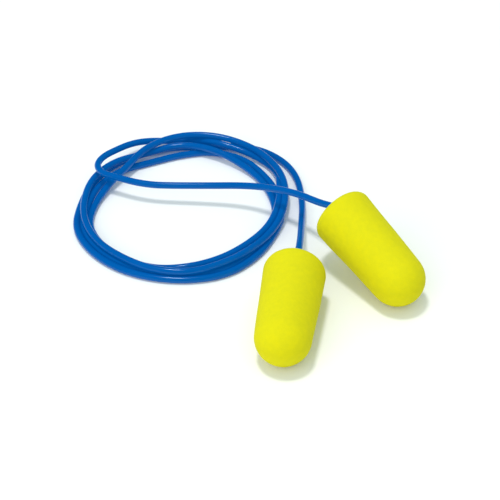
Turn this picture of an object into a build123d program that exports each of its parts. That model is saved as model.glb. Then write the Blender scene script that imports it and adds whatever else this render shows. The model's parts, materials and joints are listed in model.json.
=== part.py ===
from build123d import *
import os
from math import asin, atan2, cos, degrees, hypot, pi, radians, sin, tan

# Corded foam ear plugs: two tapered foam plugs, one on each end of a single thin PVC cord
# that is wound into a loose coil of four turns.  Everything lies on the plane Z = 0, and the
# origin is the middle, on that plane, of the box round the two plugs.  Millimetres.

# Foam plug: a cone from the wide end to a round nose, with a softly rounded wide rim.
PLUG_LENGTH = 24.8
WIDE_RADIUS = 6.25
NOSE_RADIUS = 5.45
RIM_RADIUS = 2.0

# Cord, and the way that each end of it is glued into a blind bore in the wide end.
CORD_DIAMETER = 1.45
CORD_DEPTH = 8.0
CORD_EMERGES = 0.9
BORE_RADIUS = 1.15
GLUE_BELOW_CORD = 0.6
GLUE_RECESS = 0.25

# Each plug swings where the cord bends, a little way outside its wide end.
BEND_GAP = 0.4

# Where each plug lies: the middle of its wide end, the way its nose points, seen from above
# and counted from -Y towards +X, and how far the nose points down.
FRONT_WIDE_END = (-8.53, 4.5)
FRONT_HEADING = -8.2
REAR_WIDE_END = (0.07, 16.9)
REAR_HEADING = 37.1
REAR_NOSE_DOWN = 16.0

# Outer shape of the coil: a flat oval ring that leans, wider where its turns fan out.
COIL_CENTRE = (-31.3, 29.9)
COIL_MEAN_RADII = (22.0, 20.0)
COIL_LEAN = 62.0
COIL_HALF_WIDTH = 2.95
COIL_FAN_SHIFT = (0.1, 0.4)
COIL_HEIGHT = 3.95
COIL_EDGE_RADIUS = 1.2

# Free stretches of the cord, from the coil's flank to the bend behind each plug.
FRONT_TAIL_ROUTE = [
    (-20.3, 50.4, 0.75),
    (-15.6, 51.2, 0.75),
    (-11.2, 48.1, 0.75),
    (-8.2, 43.3, 0.75),
    (-6.7, 37.5, 0.75),
    (-6.4, 31.4, 1.0),
    (-6.6, 25.4, 2.15),
    (-7.0, 19.4, 3.75),
    (-7.45, 12.8, 5.6),
]
REAR_TAIL_ROUTE = [
    (-31.2, 51.0, 2.6),
    (-35.6, 51.2, 4.4),
    (-40.6, 50.2, 4.95),
    (-45.6, 47.6, 4.95),
    (-50.0, 43.2, 4.95),
    (-48.65, 37.8, 4.95),
    (-43.3, 35.6, 4.95),
    (-38.0, 33.5, 4.9),
    (-32.0, 32.95, 4.8),
    (-26.0, 32.5, 5.0),
    (-20.2, 31.8, 5.5),
    (-15.4, 30.2, 6.4),
    (-11.2, 28.0, 7.4),
    (-7.5, 25.1, 8.4),
    (-4.0, 21.7, 9.7),
]


def plug_profile():
    """Half outline of the plug, wide end on Z = 0 and nose up; returns it with the taper angle."""
    nose_centre = PLUG_LENGTH - NOSE_RADIUS
    reach = hypot(WIDE_RADIUS, nose_centre)
    taper = atan2(WIDE_RADIUS, nose_centre) - asin(NOSE_RADIUS / reach)
    meets = (NOSE_RADIUS * cos(taper), nose_centre + NOSE_RADIUS * sin(taper))
    middle = (pi / 2 + taper) / 2
    crown = (NOSE_RADIUS * cos(middle), nose_centre + NOSE_RADIUS * sin(middle))
    outline = Wire(
        [
            Edge.make_line((0, 0, 0), (WIDE_RADIUS, 0, 0)),
            Edge.make_line((WIDE_RADIUS, 0, 0), (meets[0], 0, meets[1])),
            Edge.make_three_point_arc(
                (meets[0], 0, meets[1]), (crown[0], 0, crown[1]), (0, 0, PLUG_LENGTH)
            ),
            Edge.make_line((0, 0, PLUG_LENGTH), (0, 0, 0)),
        ]
    )
    return Face(outline), taper


def turned(radius, low, high, hole=0.0):
    """A cylinder or a tube about the plug's own axis."""
    solid = Pos(0, 0, low) * Cylinder(radius, high - low, align=(Align.CENTER, Align.CENTER, Align.MIN))
    if hole:
        solid -= Pos(0, 0, low) * Cylinder(hole, high - low, align=(Align.CENTER, Align.CENTER, Align.MIN))
    return solid


def foam_plug():
    """The foam body with the blind bore that the cord's end is glued into."""
    profile, _ = plug_profile()
    body = revolve(profile, Axis.Z)
    rim = body.edges().filter_by(GeomType.CIRCLE).sort_by(Axis.Z)[0]
    body = fillet(rim, RIM_RADIUS)
    return body - turned(BORE_RADIUS, 0, CORD_DEPTH + GLUE_BELOW_CORD)


def adhesive():
    """The set glue: a sleeve round the cord and a plug of glue below its end."""
    sleeve = turned(BORE_RADIUS, GLUE_RECESS, CORD_DEPTH, hole=CORD_DIAMETER / 2)
    return sleeve + turned(BORE_RADIUS, CORD_DEPTH, CORD_DEPTH + GLUE_BELOW_CORD)


def cord_end():
    """The end of the cord that moves with the plug, from the bore's bottom to the bend."""
    return turned(CORD_DIAMETER / 2, -CORD_EMERGES, CORD_DEPTH)


def plug_plane(wide_end, heading, nose_down, height):
    """The plug's own frame: its origin is the middle of the wide end and Z points at the nose."""
    turn = radians(heading)
    drop = radians(nose_down)
    axis = Vector(sin(turn) * cos(drop), -cos(turn) * cos(drop), -sin(drop))
    across = Vector(cos(turn), sin(turn), 0)
    return Plane(origin=(wide_end[0], wide_end[1], height), x_dir=across, z_dir=axis)


def bend_point(plane, beyond=0.0):
    """The place on the cord where the plug swings, or a point further along the cord."""
    return plane.origin - plane.z_dir * (CORD_EMERGES + BEND_GAP + beyond)


def cord_tube(name, points):
    """A round tube along straight runs joined by arcs as large as the runs allow."""
    points = [Vector(p) for p in points]
    runs = [b - a for a, b in zip(points, points[1:])]
    radii = []
    for before, after in zip(runs, runs[1:]):
        half_turn = radians(before.get_angle(after)) / 2
        radii.append(0.45 * min(before.length, after.length) / tan(half_turn))
    path = FilletPolyline(*points, radius=radii)
    section = Plane(origin=path @ 0, z_dir=path % 0) * Circle(CORD_DIAMETER / 2)
    tube = sweep(section, path=path)
    swept = pi * CORD_DIAMETER**2 / 4 * path.length
    print(name, "length %.1f" % path.length, "smallest radius %.1f" % min(radii))
    print(name, "runs", " ".join("%.1f" % run.length for run in runs))
    print(name, "radii", " ".join("%.1f" % radius for radius in radii))
    print(name, "volume %.2f, section times length %.2f" % (tube.volume, swept))
    return tube


def coil_oval(fan_side, width_side):
    """One edge of the coil, seen from above, shifted towards or away from the fan."""
    centre = Vector(COIL_CENTRE) + Vector(COIL_FAN_SHIFT) * fan_side
    radii = [radius + COIL_HALF_WIDTH * width_side for radius in COIL_MEAN_RADII]
    return Pos(centre.X, centre.Y) * Ellipse(*radii, rotation=COIL_LEAN)


def coil_ring():
    """The coil's outer shape: two shifted ovals, so that the ring is widest at the fan."""
    outer = coil_oval(1, 1)
    inner = coil_oval(-1, -1)
    ring = extrude(outer - inner, COIL_HEIGHT)
    return fillet(ring.edges().filter_by(Plane.XY), COIL_EDGE_RADIUS)


def build():
    _, taper = plug_profile()
    front_height = WIDE_RADIUS * cos(taper)
    rear_drop = (PLUG_LENGTH - NOSE_RADIUS) * sin(radians(REAR_NOSE_DOWN))
    planes = {
        "front": plug_plane(FRONT_WIDE_END, FRONT_HEADING, degrees(taper), front_height),
        "rear": plug_plane(REAR_WIDE_END, REAR_HEADING, REAR_NOSE_DOWN, NOSE_RADIUS + rear_drop),
    }
    coil = coil_ring()
    nodes = {"cord_coil": coil}
    routes = {"front": FRONT_TAIL_ROUTE, "rear": REAR_TAIL_ROUTE}
    for side, plane in planes.items():
        nodes[side + "_plug_foam"] = plane.location * foam_plug()
        nodes[side + "_plug_adhesive"] = plane.location * adhesive()
        nodes[side + "_cord_end"] = plane.location * cord_end()
        route = routes[side] + [bend_point(plane, beyond=BEND_GAP)]
        nodes["cord_tail_" + side] = cord_tube("cord_tail_" + side, route) - coil
        bend = bend_point(plane)
        print(side, "bend at %.2f %.2f %.2f" % (bend.X, bend.Y, bend.Z))
    return nodes


nodes = build()
os.makedirs("parts", exist_ok=True)
for name, solid in nodes.items():
    solid.label = name
    export_step(solid, "parts/" + name + ".step")
plugs = Compound(children=[nodes["front_plug_foam"], nodes["rear_plug_foam"]]).bounding_box()
print("box round the plugs", plugs.min, plugs.max, "centre", plugs.center())
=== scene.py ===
import json
import math

import bpy
import numpy as np
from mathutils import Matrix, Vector, noise


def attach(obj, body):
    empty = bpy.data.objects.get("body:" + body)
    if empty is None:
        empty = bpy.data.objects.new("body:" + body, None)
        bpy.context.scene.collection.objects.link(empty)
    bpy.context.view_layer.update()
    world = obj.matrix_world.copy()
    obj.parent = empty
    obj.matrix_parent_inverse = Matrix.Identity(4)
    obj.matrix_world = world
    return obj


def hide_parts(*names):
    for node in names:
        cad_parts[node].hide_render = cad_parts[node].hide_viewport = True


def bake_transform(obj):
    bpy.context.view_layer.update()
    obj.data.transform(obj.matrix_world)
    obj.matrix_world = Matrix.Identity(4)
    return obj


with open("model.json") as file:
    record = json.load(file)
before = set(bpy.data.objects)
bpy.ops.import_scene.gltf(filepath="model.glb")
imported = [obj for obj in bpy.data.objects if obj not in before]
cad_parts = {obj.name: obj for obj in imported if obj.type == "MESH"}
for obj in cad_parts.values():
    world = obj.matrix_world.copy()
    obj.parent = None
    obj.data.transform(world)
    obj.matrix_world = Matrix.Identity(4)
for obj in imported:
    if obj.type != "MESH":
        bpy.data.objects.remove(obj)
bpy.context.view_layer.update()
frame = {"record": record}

MM = 0.001

# Plug sizes, the same as the CAD's (mm).
PLUG_LENGTH = 24.8
WIDE_RADIUS = 6.25
NOSE_RADIUS = 5.45
RIM_RADIUS = 2.0
BORE_RADIUS = 1.15
BORE_DEPTH = 8.6

# Cord: how thick it is, how deep each end is glued in, how far outside the plug its end piece
# reaches, and the number of sides of its tube.
CORD_DIAMETER = 1.45
CORD_DEPTH = 8.0
END_REACH = 8.5
CORD_SIDES = 20

# The coil: four turns, counter-clockwise from above, round COIL_CENTRE.
COIL_CENTRE = (-31.5, 29.4)
COIL_STEP = 20
COIL_FIRST = 95

# Each turn as (radius, height) every COIL_STEP degrees, from COIL_FIRST on (mm).
TURNS = [
    # the first turn lies outermost on the floor at the left, and under the others at the right
    [(22.5, 0.73), (22.5, 0.73), (22.3, 0.73), (21.9, 0.73), (21.7, 0.73), (22.9, 0.73)]
    + [(22.7, 0.73), (22.45, 0.73), (22.2, 0.73), (22.3, 0.73), (22.5, 0.73), (21.4, 0.73)]
    + [(20.5, 0.73), (20.8, 0.73), (20.6, 0.73), (20.8, 0.73), (21.9, 0.73), (21.5, 0.73)],
    # the second lies inside it on the floor, and rises towards the top
    [(19.4, 0.73), (18.3, 0.73), (19.7, 0.73), (20.2, 0.73), (20.25, 0.73), (21.47, 0.73)]
    + [(21.27, 0.73), (21.03, 0.73), (20.8, 0.73), (20.85, 0.73), (21.0, 0.73), (19.95, 0.73)]
    + [(19.05, 0.73), (19.35, 0.73), (19.13, 0.73), (19.35, 0.8), (19.5, 1.5), (20.4, 2.4)],
    # the third rides on top of both, and ends outermost
    [(21.7, 2.05), (20.7, 1.5), (21.7, 2.15), (21.7, 2.2), (20.95, 2.15), (20.85, 2.2)]
    + [(20.7, 2.1), (20.5, 2.15), (21.2, 2.2), (21.5, 2.1), (20.5, 2.2), (20.1, 2.2)]
    + [(20.35, 2.2), (20.95, 2.35), (22.2, 3.1), (23.6, 2.6), (24.7, 2.5), (24.35, 3.2)],
    # the fourth crosses from the outside over the others to the inside, and goes under the third
    [(23.3, 3.35), (20.75, 3.35), (17.9, 2.4), (17.9, 1.5), (18.8, 0.73), (20.05, 0.73)]
    + [(19.85, 0.73), (19.6, 0.73), (19.35, 0.73), (19.1, 1.5), (18.1, 1.3), (17.9, 1.5)]
    + [(18.95, 2.2), (19.5, 2.2), (20.95, 2.25), (24.1, 0.78), (23.8, 1.35), (22.9, 2.4)],
]

# The free stretches of the cord, as control points of its one NURBS line (mm).
FRONT_TAIL = [
    (-7.7, 10.4, 6.2),
    (-7.3, 14.4, 5.2),
    (-7.0, 18.9, 3.9),
    (-6.7, 24.0, 2.5),
    (-6.4, 29.5, 1.3),
    (-6.5, 35.2, 0.75),
    (-7.2, 40.6, 0.73),
    (-9.3, 45.6, 0.73),
    (-13.0, 49.6, 0.73),
    (-17.2, 51.8, 0.73),
    (-21.3, 52.5, 0.73),
    (-25.2, 51.9, 0.73),
]
REAR_TAIL = [
    (-29.8, 53.7, 1.3),
    (-33.6, 54.2, 0.9),
    (-36.9, 53.6, 1.3),
    (-39.5, 52.8, 1.9),
    (-42.2, 51.5, 2.5),
    (-44.5, 49.7, 3.0),
    (-46.6, 47.5, 3.4),
    (-48.8, 45.0, 3.8),
    (-50.1, 42.5, 4.1),
    (-50.35, 39.9, 4.3),
    (-48.9, 37.4, 4.4),
    (-45.6, 36.0, 4.4),
    (-42.0, 34.4, 4.4),
    (-38.0, 33.4, 4.4),
    (-34.4, 33.1, 4.5),
    (-29.7, 32.8, 4.7),
    (-24.8, 32.4, 5.0),
    (-20.2, 31.8, 5.5),
    (-16.2, 30.6, 6.2),
    (-12.9, 28.9, 7.0),
    (-10.0, 27.1, 7.7),
    (-7.4, 25.0, 8.4),
    (-5.0, 22.9, 8.8),
    (-3.1, 20.8, 9.45),
]

# ------------------------------------------------------------------ where the plugs lie


def plug_frames():
    """Each plug's own frame from the record: origin at the middle of its wide end, Z to the nose."""
    found = {}
    for mount in frame["record"]["mounts"]:
        side = mount["name"].split("_")[0]
        axis = Vector(mount["axis"]).normalized()
        wide = Vector(mount["pos_m"]) - axis * PLUG_LENGTH * MM
        across = Vector((0, 0, 1)).cross(axis).normalized()
        up = axis.cross(across)
        found[side] = {"wide": wide, "axis": axis, "across": across, "up": up}
    return found


PLUGS = plug_frames()


def in_plug(side, x, y, z):
    """A point of the plug's own frame (mm) as a point of the part's frame (m)."""
    p = PLUGS[side]
    return p["wide"] + (p["across"] * x + p["up"] * y + p["axis"] * z) * MM


# ------------------------------------------------------------------------------- camera

AIM = Vector((-17.46, 17.25, 0.0)) * MM
ELEVATION = 40
DISTANCE = 304 * MM


def make_camera():
    data = bpy.data.cameras.new("camera")
    data.sensor_width = 36
    data.lens = 106.7
    data.clip_start = 0.01
    data.clip_end = 20
    cam = bpy.data.objects.new("camera", data)
    bpy.context.scene.collection.objects.link(cam)
    lift = math.radians(ELEVATION)
    back = Vector((0, -math.cos(lift), math.sin(lift)))
    cam.location = AIM + back * DISTANCE
    cam.rotation_mode = "QUATERNION"
    cam.rotation_quaternion = (-back).to_track_quat("-Z", "Y")
    bpy.context.scene.camera = cam


# --------------------------------------------------------------------------------- cord


def coil_points():
    """The control points of the four turns, one after the other."""
    # a control point lies outside the curve that it steers, by this share of the radius
    reach = 1 / math.cos(math.radians(COIL_STEP / 2))
    points = []
    for i, (radius, height) in enumerate(place for turn in TURNS for place in turn):
        a = math.radians(COIL_FIRST + i * COIL_STEP)
        x = COIL_CENTRE[0] + radius * reach * math.cos(a)
        y = COIL_CENTRE[1] + radius * reach * math.sin(a)
        points.append(Vector((x, y, height)) * MM)
    return points


def cord_line():
    """Points along the cord's NURBS line, from its end in the front plug to its end in the rear one."""
    points = [in_plug("front", 0, 0, z) for z in (CORD_DEPTH, 2.0, -2.5)]
    points += [Vector(p) * MM for p in FRONT_TAIL]
    points += coil_points()
    points += [Vector(p) * MM for p in REAR_TAIL]
    points += [in_plug("rear", 0, 0, z) for z in (-0.9, 2.0, CORD_DEPTH)]
    curve = bpy.data.curves.new("cord_line", "CURVE")
    curve.dimensions = "3D"
    curve.resolution_u = 12
    spline = curve.splines.new("NURBS")
    spline.points.add(len(points) - 1)
    for point, p in zip(spline.points, points):
        point.co = (p.x, p.y, p.z, 1)
    spline.order_u = 3
    spline.use_endpoint_u = True
    holder = bpy.data.objects.new("cord_line", curve)
    bpy.context.scene.collection.objects.link(holder)
    bpy.context.view_layer.update()
    line = bpy.data.meshes.new_from_object(holder)
    co = np.array([v.co for v in line.vertices], float)
    bpy.data.objects.remove(holder)
    bpy.data.curves.remove(curve)
    bpy.data.meshes.remove(line)
    return co


def cord_rings(line):
    """Rings of points round the line, turned as little as possible from one to the next."""
    tangents = np.gradient(line, axis=0)
    tangents /= np.linalg.norm(tangents, axis=1)[:, None]
    side = np.cross(tangents[0], (0, 0, 1.0))
    side /= np.linalg.norm(side)
    turns = np.arange(CORD_SIDES) * 2 * math.pi / CORD_SIDES
    rings = []
    for p, t in zip(line, tangents):
        side = side - t * (side @ t)
        side /= np.linalg.norm(side)
        other = np.cross(t, side)
        ring = np.outer(np.cos(turns), side) + np.outer(np.sin(turns), other)
        rings.append(p + ring * CORD_DIAMETER / 2 * MM)
    return np.array(rings)


def new_mesh(name, vertices, faces, material):
    mesh = bpy.data.meshes.new(name)
    mesh.from_pydata([tuple(v) for v in vertices], [], faces)
    mesh.validate()
    mesh.polygons.foreach_set("use_smooth", [True] * len(mesh.polygons))
    mesh.update()
    mesh.materials.append(material)
    o = bpy.data.objects.new(name, mesh)
    bpy.context.scene.collection.objects.link(o)
    return o


def tube(name, rings, material):
    n, k = rings.shape[:2]
    faces = []
    for i in range(n - 1):
        for j in range(k):
            a, b = i * k + j, i * k + (j + 1) % k
            faces.append((a, b, b + k, a + k))
    faces.append(tuple(range(k - 1, -1, -1)))
    faces.append(tuple((n - 1) * k + j for j in range(k)))
    o = new_mesh(name, rings.reshape(-1, 3), faces, material)
    # the rim of each cut end is sharp, so that the shading runs on across the cut
    rim = {key for cap in o.data.polygons[-2:] for key in cap.edge_keys}
    for edge in o.data.edges:
        edge.use_edge_sharp = edge.key in rim
    return o


# ---------------------------------------------------------------------------- materials


def node(tree, kind, **sets):
    n = tree.nodes.new(kind)
    for key, value in sets.items():
        setattr(n, key, value)
    return n


def shader(name):
    m = bpy.data.materials.new(name)
    m.use_nodes = True
    tree = m.node_tree
    tree.nodes.clear()
    out = node(tree, "ShaderNodeOutputMaterial")
    bsdf = node(tree, "ShaderNodeBsdfPrincipled")
    tree.links.new(bsdf.outputs["BSDF"], out.inputs["Surface"])
    return m, tree, bsdf


def noise_node(tree, where, scale, detail, rough=0.5):
    n = node(tree, "ShaderNodeTexNoise")
    n.inputs["Scale"].default_value = scale
    n.inputs["Detail"].default_value = detail
    n.inputs["Roughness"].default_value = rough
    tree.links.new(where, n.inputs["Vector"])
    return n


def ramp(tree, value, stops):
    n = node(tree, "ShaderNodeValToRGB")
    while len(n.color_ramp.elements) < len(stops):
        n.color_ramp.elements.new(0.5)
    for element, (place, colour) in zip(n.color_ramp.elements, stops):
        element.position = place
        element.color = (*colour, 1)
    tree.links.new(value, n.inputs["Fac"])
    return n


def foam_material():
    """Slow-recovery foam: a matte skin of very fine cells, slightly mottled."""
    m, tree, bsdf = shader("plug_foam")
    where = node(tree, "ShaderNodeTexCoord").outputs["Object"]
    mottle = noise_node(tree, where, 900, 4, 0.6)
    greener, warmer = (0.645, 0.605, 0.007), (0.70, 0.64, 0.005)
    colour = ramp(tree, mottle.outputs["Fac"], [(0.3, greener), (0.7, warmer)])
    tree.links.new(colour.outputs["Color"], bsdf.inputs["Base Color"])
    bsdf.inputs["Roughness"].default_value = 0.85
    bsdf.inputs["Specular IOR Level"].default_value = 0.12
    bsdf.inputs["Subsurface Weight"].default_value = 0.15
    bsdf.inputs["Subsurface Radius"].default_value = (1.0, 0.9, 0.2)
    bsdf.inputs["Subsurface Scale"].default_value = 0.0012
    cells = node(tree, "ShaderNodeTexVoronoi")
    cells.inputs["Scale"].default_value = 5200
    tree.links.new(where, cells.inputs["Vector"])
    grain = noise_node(tree, where, 2600, 3, 0.6)
    mix = node(tree, "ShaderNodeMath", operation="ADD")
    tree.links.new(cells.outputs["Distance"], mix.inputs[0])
    tree.links.new(grain.outputs["Fac"], mix.inputs[1])
    lift = node(tree, "ShaderNodeBump")
    lift.inputs["Strength"].default_value = 0.25
    lift.inputs["Distance"].default_value = 0.00004
    tree.links.new(mix.outputs[0], lift.inputs["Height"])
    tree.links.new(lift.outputs["Normal"], bsdf.inputs["Normal"])
    return m


def cord_material():
    """Soft glossy PVC, blue right through, with a faint painted glow that lightens its shade."""
    m, tree, bsdf = shader("cord_pvc")
    where = node(tree, "ShaderNodeTexCoord").outputs["Object"]
    cloud = noise_node(tree, where, 90, 3)
    colour = ramp(tree, cloud.outputs["Fac"], [(0.3, (0.0, 0.062, 0.25)), (0.7, (0.0, 0.073, 0.285))])
    tree.links.new(colour.outputs["Color"], bsdf.inputs["Base Color"])
    patches = noise_node(tree, where, 700, 3)
    gloss = ramp(tree, patches.outputs["Fac"], [(0.3, (0.10,) * 3), (0.7, (0.16,) * 3)])
    tree.links.new(gloss.outputs["Color"], bsdf.inputs["Roughness"])
    bsdf.inputs["Specular IOR Level"].default_value = 0.22
    bsdf.inputs["Specular Tint"].default_value = (0.7, 0.9, 1.0, 1)
    # painted light: the cord glows a faint blue of its own, which lightens the shade between and under
    # the strands
    bsdf.inputs["Emission Color"].default_value = (0.0, 0.075, 0.29, 1)
    bsdf.inputs["Emission Strength"].default_value = 0.46
    lift = node(tree, "ShaderNodeBump")
    lift.inputs["Strength"].default_value = 0.08
    lift.inputs["Distance"].default_value = 0.000008
    tree.links.new(noise_node(tree, where, 1500, 3).outputs["Fac"], lift.inputs["Height"])
    tree.links.new(lift.outputs["Normal"], bsdf.inputs["Normal"])
    return m


def glue_material():
    """Clear glue that has set a little yellow."""
    m, tree, bsdf = shader("adhesive")
    where = node(tree, "ShaderNodeTexCoord").outputs["Object"]
    cloud = noise_node(tree, where, 900, 3)
    colour = ramp(tree, cloud.outputs["Fac"], [(0.3, (0.60, 0.56, 0.36)), (0.7, (0.78, 0.74, 0.50))])
    tree.links.new(colour.outputs["Color"], bsdf.inputs["Base Color"])
    bsdf.inputs["Roughness"].default_value = 0.25
    bsdf.inputs["Subsurface Weight"].default_value = 0.3
    bsdf.inputs["Subsurface Scale"].default_value = 0.0006
    return m


def floor_material():
    m, tree, bsdf = shader("floor")
    bsdf.inputs["Base Color"].default_value = (0.92, 0.92, 0.92, 1)
    bsdf.inputs["Roughness"].default_value = 0.7
    bsdf.inputs["Specular IOR Level"].default_value = 0.1
    return m


# ------------------------------------------------------------------------------- pieces


def revolve(name, outline, around, side, material):
    """Turns an outline of (radius, z) pairs about the plug's axis; a radius of 0 closes the form."""
    vertices, rows = [], []
    for r, z in outline:
        if r < 1e-6:
            rows.append([len(vertices)])
            vertices.append(in_plug(side, 0, 0, z))
            continue
        rows.append(list(range(len(vertices), len(vertices) + around)))
        for j in range(around):
            a = 2 * math.pi * j / around
            vertices.append(in_plug(side, r * math.cos(a), r * math.sin(a), z))
    faces = []
    for low, high in zip(rows, rows[1:]):
        for j in range(around):
            k = (j + 1) % around
            if len(low) == 1:
                faces.append((low[0], high[k], high[j]))
            elif len(high) == 1:
                faces.append((low[j], low[k], high[0]))
            else:
                faces.append((low[j], low[k], high[k], high[j]))
    return new_mesh(name, vertices, faces, material)


def arc(centre, radius, start, end, steps):
    """Points of an arc in the (radius, z) plane, angles in degrees from the radius axis."""
    turns = [math.radians(start + (end - start) * i / steps) for i in range(steps + 1)]
    return [(centre[0] + radius * math.cos(t), centre[1] + radius * math.sin(t)) for t in turns]


def foam_outline():
    """From the bottom of the bore, out over the wide end and along the cone to the nose."""
    nose_z = PLUG_LENGTH - NOSE_RADIUS
    slant = math.hypot(WIDE_RADIUS, nose_z)
    taper = math.degrees(math.atan2(WIDE_RADIUS, nose_z) - math.asin(NOSE_RADIUS / slant))
    lean = math.radians(taper)
    lip = 0.25
    bore = [(0, BORE_DEPTH), (BORE_RADIUS * 0.5, BORE_DEPTH)]
    bore += [(BORE_RADIUS, z) for z in (BORE_DEPTH, 6.0, 4.0, 2.0, 1.0, lip)]
    bore += arc((BORE_RADIUS + lip, lip), lip, 180, 270, 5)[1:]
    rim_r = WIDE_RADIUS - RIM_RADIUS * math.tan(math.radians(45 + taper / 2))
    face = [(BORE_RADIUS + lip + (rim_r - BORE_RADIUS - lip) * i / 8, 0) for i in range(1, 9)]
    rim = arc((rim_r, RIM_RADIUS), RIM_RADIUS, -90, taper, 16)[1:]
    meets = (NOSE_RADIUS * math.cos(lean), nose_z + NOSE_RADIUS * math.sin(lean))
    cone = [
        (rim[-1][0] + (meets[0] - rim[-1][0]) * i / 44, rim[-1][1] + (meets[1] - rim[-1][1]) * i / 44)
        for i in range(1, 45)
    ]
    nose = arc((0, nose_z), NOSE_RADIUS, taper, 90, 26)[1:-1]
    return bore + face + rim + cone + nose + [(0, PLUG_LENGTH)]


def soften(o, side):
    """Moulded foam is never quite round: a slow wave and a fine grain over its skin."""
    seed = Vector((3.1, 7.7, 1.9)) if side == "front" else Vector((11.3, 2.4, 5.8))
    o.data.update()
    normals = [v.normal.copy() for v in o.data.vertices]
    wide, axis = PLUGS[side]["wide"], PLUGS[side]["axis"]
    for v, n in zip(o.data.vertices, normals):
        local = v.co - wide
        off_axis = (local - axis * local.dot(axis)).length
        keep = min(1.0, max(0.0, (off_axis / MM - 1.6) / 1.5))
        if local.dot(axis) > 10 * MM:
            keep = 1.0
        p = v.co / MM
        wave = noise.noise(p * 0.13 + seed) * 0.08
        grain = noise.noise(p * 1.1 + seed) * 0.009 + noise.noise(p * 2.6 + seed) * 0.006
        v.co += n * (wave + grain + 0.03) * keep * MM
    o.data.update()


def glue_outline():
    """A ring of glue round the cord with a hollow top, closed below the cord's end."""
    r_in, r_out = CORD_DIAMETER / 2 - 0.02, BORE_RADIUS + 0.01
    top = [(r_in, -0.05), (r_in + 0.08, 0.10), (r_in + 0.2, 0.2), (r_out - 0.1, 0.2), (r_out, 0.1)]
    inside = [(0, CORD_DEPTH + 0.01), (r_in, CORD_DEPTH + 0.01), (r_in, 4)]
    outside = [(r_out, 4), (r_out, BORE_DEPTH - 0.02), (0, BORE_DEPTH - 0.02)]
    return inside + top + outside


def make_cord(material):
    line = cord_line()
    rings = cord_rings(line)
    along = np.r_[0, np.cumsum(np.linalg.norm(np.diff(line, axis=0), axis=1))]
    reach = (CORD_DEPTH + END_REACH) * MM
    cut_front = int(np.searchsorted(along, reach))
    cut_rear = int(np.searchsorted(along, along[-1] - reach))
    main = tube("cord", rings[cut_front : cut_rear + 1], material)
    front = tube("cord_end_front", rings[: cut_front + 1], material)
    rear = tube("cord_end_rear", rings[cut_rear:], material)
    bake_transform(front)
    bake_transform(rear)
    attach(main, "cord")
    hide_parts("cord_coil", "cord_tail_front", "cord_tail_rear")
    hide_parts("front_cord_end")
    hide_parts("rear_cord_end")


def make_plugs(foam, glue):
    for side in PLUGS:
        plug = revolve("foam_plug_" + side, foam_outline(), 112, side, foam)
        soften(plug, side)
        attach(plug, side + "_plug")
        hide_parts(side + "_plug_foam")
        ring = revolve("glue_" + side, glue_outline(), 40, side, glue)
        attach(ring, side + "_plug")
        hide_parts(side + "_plug_adhesive")


# -------------------------------------------------------------------------------- stage


def make_stage():
    mesh = bpy.data.meshes.new("floor")
    half = 1.5
    corners = [(-half, -half, 0), (half, -half, 0), (half, half, 0), (-half, half, 0)]
    mesh.from_pydata(corners, [], [(0, 1, 2, 3)])
    mesh.materials.append(floor_material())
    floor = bpy.data.objects.new("floor", mesh)
    bpy.context.scene.collection.objects.link(floor)


def area_light(name, place, size, power, colour=(1, 1, 1)):
    data = bpy.data.lights.new(name, "AREA")
    data.shape = "RECTANGLE"
    data.size, data.size_y = size
    data.energy = power
    data.color = colour
    o = bpy.data.objects.new(name, data)
    bpy.context.scene.collection.objects.link(o)
    o.location = place
    o.rotation_mode = "QUATERNION"
    o.rotation_quaternion = (AIM - Vector(place)).to_track_quat("-Z", "Y")
    return o


def make_lights():
    world = bpy.data.worlds.new("world")
    world.use_nodes = True
    back = world.node_tree.nodes["Background"]
    back.inputs["Color"].default_value = (0.86, 1.0, 0.99, 1)
    back.inputs["Strength"].default_value = 0.68
    bpy.context.scene.world = world
    area_light("overhead", (-0.10, 0.05, 0.75), (0.11, 0.11), 2.4)
    key = area_light("key", (-0.50, -0.70, 0.50), (1.0, 1.0), 4.4, (1.0, 0.94, 0.91))
    # only the overhead light shows in the cord's gloss, as thin streaks
    key.visible_glossy = False
    world.cycles_visibility.glossy = False
    bpy.context.scene.view_settings.view_transform = "Standard"


make_camera()
make_cord(cord_material())
make_plugs(foam_material(), glue_material())
make_stage()
make_lights()
